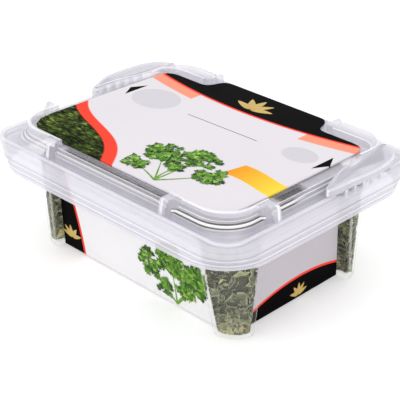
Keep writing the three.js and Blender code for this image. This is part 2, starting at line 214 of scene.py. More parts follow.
def mark_edges(piece):
    """Writes the edge map's u from each face's curvature, the sum over its edges of length times
    fold angle, divided by its area: about 2 / r where it rounds an edge of radius r. It is 1 on
    the tightest outer edges, 0 in the tightest inner corners and 0.5 on flat faces."""
    mesh = piece.data
    count, corners = len(mesh.polygons), len(mesh.loops)

    def read(source, key, size, kind=float):
        values = np.empty(size, kind)
        source.foreach_get(key, values)
        return values

    normal = read(mesh.polygons, "normal", count * 3).reshape(-1, 3)
    centre = read(mesh.polygons, "center", count * 3).reshape(-1, 3)
    area = read(mesh.polygons, "area", count)
    face = np.repeat(np.arange(count), read(mesh.polygons, "loop_total", count, np.int32))
    edge = read(mesh.loops, "edge_index", corners, np.int32)
    ends = read(mesh.edges, "vertices", len(mesh.edges) * 2, np.int32).reshape(-1, 2)
    points = read(mesh.vertices, "co", len(mesh.vertices) * 3).reshape(-1, 3)
    first, second = face[np.argsort(edge, kind="stable")].reshape(-1, 2).T
    length = np.linalg.norm(points[ends[:, 0]] - points[ends[:, 1]], axis=1)
    fold = np.arccos(np.clip(np.einsum("ij,ij->i", normal[first], normal[second]), -1, 1))
    outward = np.sign(-np.einsum("ij,ij->i", centre[second] - centre[first], normal[first]))
    turn = np.where(fold < 1.0, fold, 0) * outward * length
    total = np.bincount(first, turn, count) + np.bincount(second, turn, count)
    bend = total / np.maximum(area, 1e-9) * MM
    layer = mesh.uv_layers.new(name="edge")
    value = np.clip(0.5 + bend / 8, 0, 1)[face]
    layer.data.foreach_set("uv", np.stack([value, value], -1).astype(np.float32).ravel())


def settle(piece, material, nodes=()):
    """Gives a piece its material, its body and what it stands for."""
    piece.data.materials.clear()
    piece.data.materials.append(material)
    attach(piece, "root")
    if nodes:
        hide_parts(*nodes)


# Shader maths


def maths(operation, wire_last=False):
    """Method of a wire that adds one Math node to its tree."""

    def method(wire, *others):
        values = (*others, wire) if wire_last else (wire, *others)
        return add_node(wire.tree, "ShaderNodeMath", {"operation": operation}, *values)

    return method


class Wire:
    """A node's output. Arithmetic on it adds Math nodes to its tree."""

    def __init__(self, tree, socket):
        self.tree = tree
        self.socket = socket

    def __neg__(self):
        return self * -1.0

    __add__ = maths("ADD")
    __radd__ = maths("ADD", wire_last=True)
    __sub__ = maths("SUBTRACT")
    __rsub__ = maths("SUBTRACT", wire_last=True)
    __mul__ = maths("MULTIPLY")
    __rmul__ = maths("MULTIPLY", wire_last=True)
    __truediv__ = maths("DIVIDE")
    __pow__ = maths("POWER")
    __abs__ = maths("ABSOLUTE")
    low = maths("MINIMUM")
    high = maths("MAXIMUM")
    sine = maths("SINE")


def add_node(tree, kind, settings, *values, out=0, **named):
    """Adds a node, sets its settings, then its sockets in order and by name; gives one output."""
    node = tree.nodes.new(kind)
    for key, value in settings.items():
        if key == "stops":
            ramp = node.color_ramp
            while len(ramp.elements) > 1:
                ramp.elements.remove(ramp.elements[0])
            for i, (place, colour) in enumerate(value):
                stop = ramp.elements[0] if i == 0 else ramp.elements.new(place)
                stop.position = place
                stop.color = (*colour, 1.0)
        else:
            setattr(node, key, value)
    pairs = list(zip(node.inputs, values))
    pairs += [(node.inputs[key.replace("_", " ")], value) for key, value in named.items()]
    for socket, value in pairs:
        if value is None:
            continue
        if isinstance(value, Wire):
            tree.links.new(value.socket, socket)
        else:
            socket.default_value = value
    return Wire(tree, node.outputs[out])


def mixed(factor, low, high):
    """Colour that goes from low to high with the factor."""
    low, high = (v if isinstance(v, Wire) else (*v, 1.0) for v in (low, high))
    settings = {"data_type": "RGBA"}
    return add_node(factor.tree, "ShaderNodeMix", settings, factor, *[None] * 5, low, high, out=2)


def parts(wire, count):
    """The first few of a vector's parts."""
    split = add_node(wire.tree, "ShaderNodeSeparateXYZ", {}, wire)
    return [Wire(wire.tree, split.socket.node.outputs[i]) for i in range(count)]


def below(value, edge, soft=0.08):
    """1 where a value is under an edge, 0 over it, with a soft step between."""
    return add_node(value.tree, "ShaderNodeMath", {"operation": "MULTIPLY", "use_clamp": True},
                    (edge - value) + soft / 2, 1.0 / soft)


def new_material(name):
    """Empty material: its tree, its Principled shader and the point in millimetres as x, y, z."""
    material = bpy.data.materials.new(name)
    material.use_nodes = True
    tree = material.node_tree
    shader = tree.nodes["Principled BSDF"]
    place = add_node(tree, "ShaderNodeTexCoord", {}, out=3)
    return material, tree, shader, place, [part * 1000.0 for part in parts(place, 3)]


def noise(tree, place, scale, detail=2.0, roughness=0.5):
    return add_node(tree, "ShaderNodeTexNoise", {}, place, Scale=scale, Detail=detail, Roughness=roughness)


def feed(shader, **values):
    """Sets or links the shader's sockets by name."""
    for key, value in values.items():
        socket = shader.inputs[key.replace("_", " ")]
        if isinstance(value, Wire):
            value.tree.links.new(value.socket, socket)
        elif socket.type == "RGBA":
            socket.default_value = (*value, 1.0)
        else:
            socket.default_value = value


def bump(tree, height, strength, distance):
    return add_node(tree, "ShaderNodeBump", {}, Strength=strength, Distance=distance, Height=height)


# Materials


def edge_masks(tree):
    """Masks for rounded outer edges and for inner corners, from the edge map."""
    value = parts(add_node(tree, "ShaderNodeUVMap", {"uv_map": "edge"}), 1)[0]
    return below(-value, -0.74, 0.24), below(value, 0.30, 0.24)


def clear_plastic(look):
    """Clear moulded plastic with a light haze, whiter where seen edge on, and cloudier and whiter along its
    rounded edges and inner corners as a painted highlight.
    """
    material, tree, shader, place, _ = new_material("clear_plastic")
    outer, inner = edge_masks(tree)
    facing = add_node(tree, "ShaderNodeLayerWeight", {}, out=1, Blend=0.35)
    cloud = noise(tree, place, 60.0, 3.0)
    # Painted highlight: the edge terms make rounded edges and inner corners cloudier and so whiter.
    haze = look.tub_haze + 0.03 * (cloud - 0.5) + facing**4.0 * 0.45 + outer * 0.30 + inner * 0.12
    ripple = noise(tree, place, 160.0, 2.0)
    feed(shader, Base_Color=look.tub_colour, Roughness=0.08 + 0.06 * cloud,
         Alpha=haze.high(0.02).low(0.85), Normal=bump(tree, ripple, 0.2, 0.0005), IOR=2.2,
         Specular_IOR_Level=0.9)
    return material


def milky_plastic(look):
    """Milky lid plastic: lavender white, with a painted highlight along rounded edges, painted shade
    in inner corners, where seen edge on and on the seal tabs, painted dark lines and a bright band
    on the front corner steps, cloudier where seen edge on, and clear on the strips of flat top beside the
    label."""
    material, tree, shader, place, (x, y, z) = new_material("lid_plastic")
    outer, inner = edge_masks(tree)
    facing = add_node(tree, "ShaderNodeLayerWeight", {}, out=1, Blend=0.4)
    cloud = noise(tree, place, 45.0, 3.0)
    ripple = noise(tree, place, 220.0, 2.0)
    straight_x, straight_y, groove_from, groove_to = 35.5, 27.2, 10.9, 12.45
    past_x, past_y = (abs(x) - straight_x).high(0.0), (abs(y) - straight_y).high(0.0)
    reach = (past_x * past_x + past_y * past_y) ** 0.5
    strip = below(abs(x), 21.5, 1.5) * below(y, -36.0, 0.6)
    side = below(-x, -42.6, 0.5) * below(abs(y + 9.5), 6.0, 1.0)
    clear = below(-z, -PLATEAU_TOP + 1.3, 0.3) * below(reach, groove_from, 0.2) * strip.high(side)
    gutter = below(z, RIM_TOP - 1.0, 0.6) * below(-z, -GUTTER_FLOOR + 0.6, 0.4)
    tab = below(-abs(x), -47.6, 1.0) * below(-z, -RIM_TOP - 0.6, 0.5)
    outer = outer * (0.4 + 0.6 * below(-z, -RIM_TOP - 0.5, 1.0))
    # Heights of the corner steps, where dark lines on the ledges and a bright band on the riser are painted
    # as shade and highlight.
    upper_ledge, middle_riser, lower_ledge = 42.07, 41.55, 41.03
    stepped = below(-reach, -groove_from, 0.1) * below(reach, groove_to, 0.1) * below(y, -8.0, 6.0)
    ledge = below(abs(z - upper_ledge), 0.12, 0.06).high(below(abs(z - lower_ledge), 0.12, 0.06))
    ledge = stepped * ledge
    riser = stepped * below(abs(z - middle_riser), 0.36, 0.1)
    corner = 0.35 + 0.65 * below(-x, -22.0, 4.0)
    haze = look.lid_haze + 0.08 * (cloud - 0.5) + facing**2.0 * 0.35 + outer * 0.30 + inner * 0.10
    haze = haze + gutter * 0.12 + tab * 0.13 + below(z, GUTTER_FLOOR - 0.8, 1.5) * 0.15
    haze = haze * (1.0 - clear * 0.80)
    haze = haze + (ledge + riser) * corner * 0.5
    # Painted shade: the colour greys toward the parts of the lid seen edge on.
    tone = mixed(facing**1.5 * 0.8, look.lid_colour, (0.56, 0.54, 0.62))
    # Painted shade: the seal tabs are greyed.
    tone = mixed(tab * 0.5, tone, (0.62, 0.60, 0.67))
    # Painted highlight: rounded outer edges whitened, less on the skirt below the rim.
    tone = mixed(outer * 0.85, tone, (0.96, 0.95, 0.98))
    # Painted shade: inner corners darkened toward grey.
    tone = mixed(inner * 0.6, tone, (0.38, 0.37, 0.41))
    # Painted highlight on the riser and painted shade as near black lines on the ledges, strongest toward the
    # front right corner.
    tone = mixed(riser * corner, tone, (0.98, 0.97, 0.96))
    tone = mixed(ledge * corner * 0.95, tone, (0.035, 0.030, 0.030))
    feed(shader, Base_Color=tone, Roughness=0.14 + 0.08 * cloud, Alpha=haze.high(0.04).low(0.97),
         Normal=bump(tree, ripple, 0.10, 0.0003), IOR=1.7, Specular_IOR_Level=0.6)
    return material


def dried_leaf():
    """Dried leaf: each flake's grey green, brown green or straw tint, darker for deeper flakes as painted
    shade, paler at its rim as a painted highlight.
    """
    material, tree, shader, place, _ = new_material("dried_leaf")
    tint, rim = parts(add_node(tree, "ShaderNodeUVMap", {"uv_map": "tint"}), 2)
    base = add_node(tree, "ShaderNodeValToRGB", {"stops": [
        (0.0, (0.018, 0.020, 0.008)),
        (0.3, (0.080, 0.084, 0.034)),
        (0.6, (0.230, 0.232, 0.100)),
        (0.85, (0.480, 0.475, 0.230)),
        (0.97, (0.600, 0.440, 0.140)),
    ]}, tint)
    veins = noise(tree, place, 700.0, 3.0, 0.6)
    shade = mixed((veins * 2.4 - 1.0).high(0.0).low(0.6), base, (0.03, 0.040, 0.02))
    # Painted highlight: each flake's rim is paled.
    colour = mixed(rim**3.0 * 0.6, shade, (0.58, 0.60, 0.38))
    feed(shader, Base_Color=colour, Roughness=0.75, Normal=bump(tree, veins, 0.5, 0.0004))
    return material


# Tub


def half_sizes(line, z, offset):
    """A line of the tub along x and along y at heights z, moved outward by the offset."""
    return [start + slope * z + offset for start, slope in line]


def tub_outline(z, inset, slack):
    """Outline of the tub at heights z: in each quarter a side panel, a cheek back out to the round
    leg, the leg as a quarter ellipse, a cheek and the other panel. Inset moves the panels and legs
    inward, slack moves the cheeks so that their wall keeps its thickness."""
    leg_x, leg_y = half_sizes(LEGS, z, -inset)
    edge_x, edge_y = half_sizes(PANEL_ENDS, z, slack)
    panel_x, panel_y = half_sizes(PANELS, z, -inset)
    angle = np.linspace(0, math.pi / 2, 19)
    arc_x = edge_x[:, None] + (leg_x - edge_x)[:, None] * np.cos(angle)
    arc_y = edge_y[:, None] + (leg_y - edge_y)[:, None] * np.sin(angle)
    lean = 0.6
    x = np.concatenate([panel_x[:, None], arc_x, (edge_x - lean)[:, None]], 1)
    y = np.concatenate([(edge_y - lean)[:, None], arc_y, panel_y[:, None]], 1)
    quarter = np.stack([x, y], -1)
    back = quarter[:, ::-1]
    ring = np.concatenate([quarter, back * (-1, 1), quarter * (-1, -1), back * (1, -1)], 1)
    reach = np.full(x.shape[1], 0.3)
    reach[[0, -1]] = 0.9
    reach[[1, -2]] = 0.45
    return soften(ring, np.concatenate([reach, reach[::-1], reach, reach[::-1]]), steps=3)


def tub_skin(z, inset, slack):
    """Closed surface over the tub's outlines at heights z."""
    return skin(at_heights(tub_outline(z, inset, slack), z))


def block(x, y, low, high):
    """Upright block centred on the axis."""
    return skin(at_heights(rounded_rings([x, x], [y, y], [0.4, 0.4], 2), [high, low]))


def tub_shell(wall):
    """Body and flange joined, the hollow cut out, a raised floor put in, and the feet freed."""
    outer_z = np.array([FLANGE_TOP, 30.0, 24.0, 18.0, 12.0, 6.0, 2.0, 1.0, 0.4, 0.1, 0.0])
    outer_inset = np.array([0, 0, 0, 0, 0, 0, 0, 0.05, 0.3, 0.7, 1.0])
    inner_z = np.array([FLANGE_TOP + 1, 30.0, 22.0, 14.0, 7.0, 2.6, 1.6, LEG_FLOOR_TOP])
    inner_inset = wall + np.array([0, 0, 0, 0, 0, 0.05, 0.4, 1.2])
    flange_rows = np.array([[50.4, FLANGE_TOP], [50.6, FLANGE_TOP - 0.2], [50.6, FLANGE_UNDERSIDE + 0.2],
                            [50.4, FLANGE_UNDERSIDE]])
    flange = skin(at_heights(
        rounded_rings(flange_rows[:, 0], flange_rows[:, 0] - 8.6, np.full(4, 14.0)), flange_rows[:, 1]))
    floor_x, floor_y, far = 35.0, 21.6, 60.0
    return combined("clear_tub", tub_skin(outer_z, outer_inset, 0), [
        ("UNION", flange),
        ("DIFFERENCE", tub_skin(inner_z, inner_inset, 0.6 * wall)),
        ("UNION", block(floor_x, 26.4, FLOOR_UNDERSIDE, FLOOR_TOP)),
        ("UNION", block(39.4, floor_y, FLOOR_UNDERSIDE, FLOOR_TOP)),
        ("DIFFERENCE", block(floor_x, far, -1, FLOOR_UNDERSIDE)),
        ("DIFFERENCE", block(far, floor_y, -1, FLOOR_UNDERSIDE)),
    ])


# Lid

# Outside of the lid from the flat top down: inset from its edge, height, corner radius, rounding
LID_OUTSIDE = np.array([
    (6.9, PLATEAU_TOP, 10.6, 0.0),
    (6.5, PLATEAU_TOP, 11.0, 0.25),
    (6.4, 42.1, 11.1, 0.1),
    (5.9, 42.05, 11.2, 0.25),
    (5.8, 41.1, 11.1, 0.1),
    (5.2, 41.0, 10.9, 0.3),
    (4.5, GUTTER_FLOOR, 9.7, 0.8),
    (2.9, GUTTER_FLOOR, 6.4, 0.8),
    (2.3, RIM_TOP, 6.6, 0.5),
    (1.0, RIM_TOP, 7.4, 0.7),
    (0.7, 38.6, 9.0, 0.8),
    (0.6, 34.9, 12.5, 0.3),
    (0.1, 34.4, 13.2, 0.3),
    (0.5, 33.8, 13.8, 0.3),
    (0.5, 33.1, 14.8, 0.3),
    (0.05, 32.5, 15.4, 0.3),
    (0.45, 31.9, 16.0, 0.3),
    (0.0, SKIRT_BOTTOM, 17.0, 0.12),
    (0.7, SKIRT_BOTTOM, 16.6, 0.0),
])
LID_INSIDE = np.array([
    (7.6, PLATEAU_TOP - 1.0, 9.6, 0.0),
    (6.9, PLATEAU_TOP - 1.1, 9.8, 0.2),
    (5.5, GUTTER_FLOOR - 1.0, 8.8, 0.6),
    (2.0, GUTTER_FLOOR - 1.0, 8.0, 0.6),
    (1.6, 34.9, 12.0, 0.3),
    (1.0, SKIRT_BOTTOM, 16.2, 0.0),
    (1.0, SKIRT_BOTTOM - 1.0, 16.2, 0.0),
])


def lid_rows(stations, half_x, half_y):
    """Rounded rectangles at the stations of a lid profile whose corners are softened."""
    row = soften(stations[:, :3], stations[:, 3], closed=False)
    return at_heights(rounded_rings(half_x - row[:, 0], half_y - 0.94 * row[:, 0], row[:, 2], 24), row[:, 1])


def corner_run(half_x, half_y, radius, start_x, end_y, steps=20):
    """Way round one corner of a rounded rectangle, seen as the corner at +x, +y: along the long
    side from start_x, round the corner, then down the short side to end_y."""
    half_x, half_y, radius = (np.asarray(v, float)[:, None] for v in (half_x, half_y, radius))
    angle = np.linspace(math.pi / 2, 0, steps)
    x = half_x - radius + radius * np.cos(angle)
    y = half_y - radius + radius * np.sin(angle)
    along = np.linspace(0, 1, 6)[:-1]
    first_x = start_x + (x[:, :1] - start_x) * along
    last_y = y[:, -1:] + (end_y - y[:, -1:]) * along[1:] / along[-1]
    x = np.concatenate([first_x, x, np.repeat(x[:, -1:], 4, 1)], 1)
    y = np.concatenate([np.repeat(y[:, :1], 5, 1), y, last_y], 1)
    return np.stack([x, y], -1)


def corner_wall(sections, start_x, end_y, sign_x, sign_y):
    """Raised wall or block: a closed cross-section, its corners softened, carried round a corner.
    A section's stations give half length, half width, corner radius, height and rounding."""
    sections = np.asarray(sections, float)
    order = sections[:, [0, 3, 1, 2]]
    row = soften(order, sections[:, 4], steps=3)
    run = at_heights(corner_run(row[:, 0], row[:, 2], row[:, 3], start_x, end_y), row[:, 1])
    return skin(run.transpose(1, 0, 2) * (sign_x, sign_y, 1))


def fin(inner, outer, order, turn, place):
    """Thin fin across the gutter at the end of a corner wall, with a fillet toward the corner:
    its plan outline at five heights, pulled in toward the top. It is drawn for the front side, and
    its axes are then put in order, turned and moved to their place."""
    rings = []
    for z, pull in ((LUG_TOP - 0.15, 1.5), (LUG_TOP - 0.7, 0.6), (RIM_TOP + 1.0, 0.15), (RIM_TOP - 0.3, 0.0),
                    (GUTTER_FLOOR - 0.5, 0.0)):
        edge = -(outer - pull)
        plan = np.array([(0, -inner), (0, edge), (1.1, edge), (1.8, edge + 1.7),
                         (3.4, min(edge + 3.2, -inner - 1.2)), (5.2, -inner - 0.9), (5.2, -inner)])
        rings.append(at_heights(soften(plan, 0.35, steps=3)[None], [z])[0])
    return skin(np.stack(rings)[..., order] * turn + place)


def seal_tab(side):
    """Raised tab over the rim: a pad whose outer edge curves over, hollow underneath, on thin
    bridges. Its plan outline is pulled in toward the top. The pad sinks toward its front tip, and
    its outer edge lifts off the rim between the two ends: heights t from low to top become
    b + t (c - b), where b and c are the lower edge and the top at that place."""
    plan = np.array([(45.6, 16.0), (47.2, 8.5), (49.7, 0.6), (51.4, -0.9), (53.2, 2.8), (54.6, 8.5),
                     (55.1, 16.0), (54.7, 25.0), (52.6, 31.0), (48.4, 34.4), (45.2, 34.4), (45.3, 25.0)])
    plan = soften(plan, [4.0, 3.5, 0.8, 0.8, 2.4, 3.2, 4.5, 3.5, 3.0, 2.5, 0.6, 3.0])
    room = np.array([(47.5, 15.0), (48.4, 9.0), (50.3, 1.8), (51.1, 1.0), (52.3, 3.4), (53.6, 8.8),
                     (54.1, 16.0), (53.7, 24.6), (51.8, 30.2), (48.1, 33.3), (47.4, 33.3), (47.4, 25.0)])
    room = soften(room, [3.0, 3.0, 0.6, 0.6, 2.0, 3.0, 4.2, 3.2, 2.6, 1.8, 0.3, 3.0])
    top, low = LUG_TOP - 0.3, RIM_TOP + 0.4

    def rings(outline, stations):
        rows = drawn_in(outline, stations)
        x, y, z = rows[..., 0], rows[..., 1], rows[..., 2]
        sink = 1.7 * np.clip(1 - (y + 0.9) / 10, 0, 1) ** 1.5
        raised = np.clip((x - 49.5) / 2.5, 0, 1) * np.clip((y - 1) / 6, 0, 1) * np.clip((34 - y) / 6, 0, 1)
        edge, share = low + 1.7 * raised, (z - low) / (top - low)
        rows[..., 2] = np.where(share < 0, z, edge + share * (top - sink - edge))
        return skin(rows)

    pad = rings(plan, [(top, 1.6), (top - 0.08, 1.2), (top - 0.35, 0.65), (top - 0.8, 0.25),
                       (top - 1.5, 0.05), (low, 0.0)])
    hollow = rings(room, [(top - 0.95, 0.7), (top - 1.1, 0.5), (top - 1.5, 0.2), (low, 0.0),
                          (low - 1.0, 0.0)])
    bridges = [slab(rounded_rings(0.9, 0.5, 0.2, 3) + (52.6, y + 0.6), RIM_TOP - 1.2, top - 0.9)
               for y in 5.5 + 4.2 * np.arange(5)]
    surfaces = [("UNION", pad), ("DIFFERENCE", hollow)] + [("UNION", bridge) for bridge in bridges]
    return [(operation, facing_out(points * (side, 1, 1), faces)) for operation, (points, faces) in surfaces]


def lid_shell():
    """Moulded lid: the outside profile, corner walls, blocks and fins joined, then hollowed."""
    half_x, half_y = 53.0, 44.3
    front = [(46.55, 38.2, 11.0, 42.3, 0.1), (46.1, 37.7, 10.5, LUG_TOP, 0.7),
             (45.2, 36.6, 9.6, LUG_TOP, 0.25), (45.1, 36.5, 9.6, 42.4, 0.1)]
    back = [(46.6, 38.3, 11.0, 42.3, 0.1), (46.1, 37.5, 10.2, LUG_TOP, 0.6),
            (45.3, 31.4, 5.5, LUG_TOP, 0.5), (45.0, 30.6, 4.8, 42.3, 0.1)]
    walls = [(front, 24.0, 20.0, 1, -1), (front, 24.0, 20.0, -1, -1),
             (back, 27.5, 22.0, 1, 1), (back, 29.0, 22.0, -1, 1)]
    long_side, short_side = [0, 1, 2], [1, 0, 2]
    fins = [(36.7, 42.3, long_side, (1, 1, 1), (24.0, 0, 0)),
            (36.7, 42.3, long_side, (-1, 1, 1), (-24.2, 0, 0)),
            (45.4, 51.2, short_side, (-1, -1, 1), (0, -20.3, 0)),
            (45.4, 51.2, short_side, (1, -1, 1), (0, -20.3, 0)),
            (31.6, 39.6, long_side, (1, -1, 1), (24.4, 0, 0)),
            (31.6, 39.6, long_side, (-1, -1, 1), (-26.6, 0, 0))]
    outside, inside = (skin(lid_rows(profile, half_x, half_y)) for profile in (LID_OUTSIDE, LID_INSIDE))
    steps = [("UNION", corner_wall(*wall)) for wall in walls] + [("UNION", fin(*each)) for each in fins]
    return combined("snap_lid", outside, [*steps, ("DIFFERENCE", inside), *seal_tab(1), *seal_tab(-1)])


# Flakes


def wall_clamp(points, gap):
    """Points kept inside the tub's hollow by a gap: in a leg's quarter ellipse where both offsets
    pass its cheeks, otherwise behind the panel or back past the cheek, whichever is nearer. Returns
    them and how far each was moved."""
    cheek_gap = 0.75
    x, y, z = np.abs(points[..., 0]), np.abs(points[..., 1]), points[..., 2]
    leg_x, leg_y = half_sizes(LEGS, z, -gap)
    edge_x, edge_y = half_sizes(PANEL_ENDS, z, cheek_gap)
    panel_x, panel_y = half_sizes(PANELS, z, -gap)
    in_x, in_y = x - edge_x, y - edge_y
    reach = np.sqrt((in_x / (leg_x - edge_x)) ** 2 + (in_y / (leg_y - edge_y)) ** 2)
    corner = (in_x > 0) & (in_y > 0)
    shrink = np.where(corner, 1 / np.maximum(reach, 1), 1)
    past_x, past_y = (in_y <= 0) & (x > panel_x), (in_x <= 0) & (y > panel_y)
    slide_y, slide_x = past_x & (-in_y < x - panel_x), past_y & (-in_x < y - panel_y)
    new_x = np.where(corner, edge_x + in_x * shrink, np.where(past_x & ~slide_y, panel_x, x))
    new_y = np.where(corner, edge_y + in_y * shrink, np.where(past_y & ~slide_x, panel_y, y))
    new_x = np.where(slide_x, edge_x, np.where(slide_y, np.minimum(new_x, leg_x - 0.1), new_x))
    new_y = np.where(slide_y, edge_y, np.where(slide_x, np.minimum(new_y, leg_y - 0.1), new_y))
    moved = np.hypot(new_x - x, new_y - y)
    clamped = np.stack([np.sign(points[..., 0]) * new_x, np.sign(points[..., 1]) * new_y, z], -1)
    return clamped, moved


def curled_flakes(centres, normals, random, size):
    """Thin curled leaf scraps. Along each scrap five stations carry a left rim, a folded middle and
    a right rim at ragged widths; the strip bends along an arc of its own and closes in two tips.
    A second layer just under the first gives it thickness."""
    count = len(centres)
    length = size * random.uniform(0.65, 1.5, count)
    width = length * random.uniform(0.3, 0.8, count)
    stations = np.linspace(-0.8, 0.8, 5)
    taper = np.sqrt(1 - stations**2)
    left = width[:, None] / 2 * taper * random.uniform(0.45, 1.2, (count, 5))
    right = width[:, None] / 2 * taper * random.uniform(0.45, 1.2, (count, 5))
    fold = width * random.uniform(-0.7, 0.8, count)
    bend = random.normal(0, 1.5, count)
    spread = np.concatenate([[-1.0], stations, [1.0]])
    along = spread * length[:, None] / 2
    lift = -bend[:, None] * (spread**2) * length[:, None] * 0.22
    drift = random.normal(0, 0.12, (count, 7)) * width[:, None]
    middle = np.stack([along, drift, lift + fold[:, None] * 0.35 * (1 - spread**2)], -1)
    wobble = random.normal(0, 0.12, (2, count, 5)) * width[:, None]
    left_rim, right_rim = (
        np.stack([along[:, 1:-1], drift[:, 1:-1] + out, lift[:, 1:-1] - fold[:, None] * 0.3 + shake], -1)
        for out, shake in zip((-left, right), wobble))
    under = middle[:, 1:-1] - (0, 0, 0.16)
    local = np.concatenate([middle[:, :1], left_rim, middle[:, 1:-1], right_rim, under, middle[:, -1:]], 1)
    side = np.cross(normals, random.normal(size=(count, 3)))
    side /= np.linalg.norm(side, axis=1, keepdims=True)
    axes = np.stack([side, np.cross(normals, side), normals], 1)
    points = centres[:, None] + np.einsum("nkj,nji->nki", local, axes)
    rim = np.zeros(SCRAP_POINTS)
    rim[[0, *range(1, 6), *range(11, 16), 21]] = 1
    return points, np.tile(rim, (count, 1))


def flake_faces(count):
    """Faces of one scrap, repeated: quads round its four-point cross-section, triangles at its tips."""
    loop = np.array([1, 6, 11, 16])
    quads = [(a + i, b + i, b + i + 1, a + i + 1)
             for a, b in zip(loop, np.roll(loop, -1)) for i in range(4)]
    tips = [(0, b, a) for a, b in zip(loop, np.roll(loop, -1))]
    tips += [(21, a + 4, b + 4) for a, b in zip(loop, np.roll(loop, -1))]
    shift = SCRAP_POINTS * np.arange(count)[:, None, None]
    return [(np.array(group)[None] + shift).reshape(-1, len(group[0])) for group in (quads, tips)]


def scatter(amount, random, wall):
    """Places, facings and depths of flakes: most pressed against the walls in a few layers, the rest
    heaped on top, on the floor and in the feet."""
    low_z, high_z, rows = 1.9, FILL_TOP - 0.6, 24
    rings = tub_outline(np.linspace(low_z, high_z, rows), wall + 0.3, 0.6 * wall)
    length = np.linalg.norm(np.roll(rings[0], -1, 0) - rings[0], axis=1)
    share = int(amount * 0.66)
    spot = random.choice(len(length), share, p=length / length.sum())
    level = random.uniform(0, rows - 1.01, share)
    low, part = level.astype(int), (level % 1)[:, None]
    after = (spot + 1) % len(length)
    slide = random.uniform(0, 1, (share, 1))
    near = rings[low, spot] * (1 - slide) + rings[low, after] * slide
    far = rings[low + 1, spot] * (1 - slide) + rings[low + 1, after] * slide
    step = rings[low, after] - rings[low, spot]
    normal = np.stack([step[:, 1], -step[:, 0]], -1) / np.linalg.norm(step, axis=1, keepdims=True)
    depth = random.uniform(0.0, 1.0, (share, 1)) ** 2.0 * 4.0
    plan = near * (1 - part) + far * part - normal * depth
    walls = np.column_stack([plan, low_z + level * (high_z - low_z) / (rows - 1)])
    heap, feet = int(amount * 0.2), int(amount * 0.06)
    bed = amount - share - heap - feet
    top = np.column_stack([random.uniform(-44, 44, heap), random.uniform(-35, 35, heap),
                           FILL_TOP - 0.3 - random.uniform(0, 2.6, heap)])
    floor = np.column_stack([random.uniform(-44, 44, bed), random.uniform(-31, 31, bed),
                             FLOOR_TOP + 0.5 + random.uniform(0, 1.2, bed)])
    foot = np.column_stack([random.choice((-1, 1), feet) * random.uniform(36, 44, feet),
                            random.choice((-1, 1), feet) * random.uniform(22.5, 29.5, feet),
                            random.uniform(2.0, 5.0, feet)])
    upright = np.tile((0.0, 0.0, 1.0), (heap + bed + feet, 1))
    centres = np.vstack([walls, top, floor, foot])
    facing = np.vstack([np.column_stack([normal, np.zeros(share)]), upright])
    facing = facing + random.normal(0, 0.6, (len(centres), 3))
    buried = np.concatenate([depth[:, 0] / 4, np.zeros(heap + bed + feet)])
    return centres, facing / np.linalg.norm(facing, axis=1, keepdims=True), buried


def build_flakes(look):
    """Flakes whose points all lie in the hollow, in two pieces, each with its tint painted, darker with depth
    as painted shade.
    """
    wall_gap, farthest_move, lowest = 0.12, 2.2, LEG_FLOOR_TOP + 0.4
    random = np.random.default_rng(7)
    centres, facing, buried = scatter(look.flake_count, random, look.wall / MM)
    points, rim = curled_flakes(centres, facing, random, look.flake_length / MM)
    clamped, moved = wall_clamp(points, look.wall / MM + wall_gap)
    clamped[..., 2] = np.clip(clamped[..., 2], lowest, FILL_TOP)
    fits = np.flatnonzero(moved.max(1) < farthest_move)
    # Painted shade: flakes that lie deeper in from the wall get a darker tint.
    tint = np.clip(random.normal(0.50, 0.30, len(clamped)) - 0.7 * np.sqrt(buried), 0, 1)
    pieces = []
    for name, chosen in (("dried_flakes_a", fits[::2]), ("dried_flakes_b", fits[1::2])):
        piece = to_object(name, (clamped[chosen].reshape(-1, 3), flake_faces(len(chosen))), crease=18)
        paint_tint(piece, np.repeat(tint[chosen], SCRAP_POINTS), rim[chosen].reshape(-1))
        pieces.append(piece)
    return pieces


def paint_tint(piece, tint, rim):
    """Writes each point's tint and rim value into the tint map."""
    mesh = piece.data
    loops = np.empty(len(mesh.loops), np.int32)
    mesh.loops.foreach_get("vertex_index", loops)
    layer = mesh.uv_layers.new(name="tint")
    layer.data.foreach_set("uv", np.stack([tint[loops], rim[loops]], -1).astype(np.float32).ravel())


def flake_core(look):
    """Core of the fill: the hollow's outline drawn in behind the outer flakes, closed by a flat top."""
    z = np.array([FILL_TOP - 1.8, FILL_TOP - 2.2, 24.0, 16.0, 8.0, 4.0, 2.4])
    inset = look.wall / MM + np.array([3.0, 1.5, 1.2, 1.2, 1.2, 1.2, 2.0])
    return to_object("flake_core", tub_skin(z, inset, 0.6 + inset * 0.6))


# Prints


def print_sheet(name, paint, roughness=0.3):
    """Printed film: the paint function gives the colour from x, y, z in millimetres; the film has a
    soft gloss and faint ripples from being stuck on by hand."""
    material, tree, shader, place, point = new_material(name)
    ripple = noise(tree, place, 28.0, 2.0)
    grain = noise(tree, place, 2600.0, 1.0)
    feed(shader, Base_Color=paint(tree, place, *point), Roughness=roughness + 0.1 * ripple,
         Normal=bump(tree, ripple + grain * 0.03, 0.1, 0.002), IOR=1.45, Specular_IOR_Level=0.01)
    return material


def oval(x, y, centre, radii):
    """1 inside an ellipse."""
    across, up = (x - centre[0]) / radii[0], (y - centre[1]) / radii[1]
    return below(across * across + up * up, 1.0, 0.06)


def bar(x, y, centre, half, degrees):
    """1 inside a turned rectangle."""
    c, s = math.cos(math.radians(degrees)), math.sin(math.radians(degrees))
    along = (x - centre[0]) * c + (y - centre[1]) * s
    across = (y - centre[1]) * c - (x - centre[0]) * s
    return below(abs(along), half[0]) * below(abs(across), half[1])


def pointer(x, y, tip, length, half, side):
    """1 inside a triangle whose tip points along x toward the given side."""
    back = (tip[0] - x) * side
    return below(-back, 0.0) * below(back, length) * below(abs(y - tip[1]) - back * (half / length), 0.0)


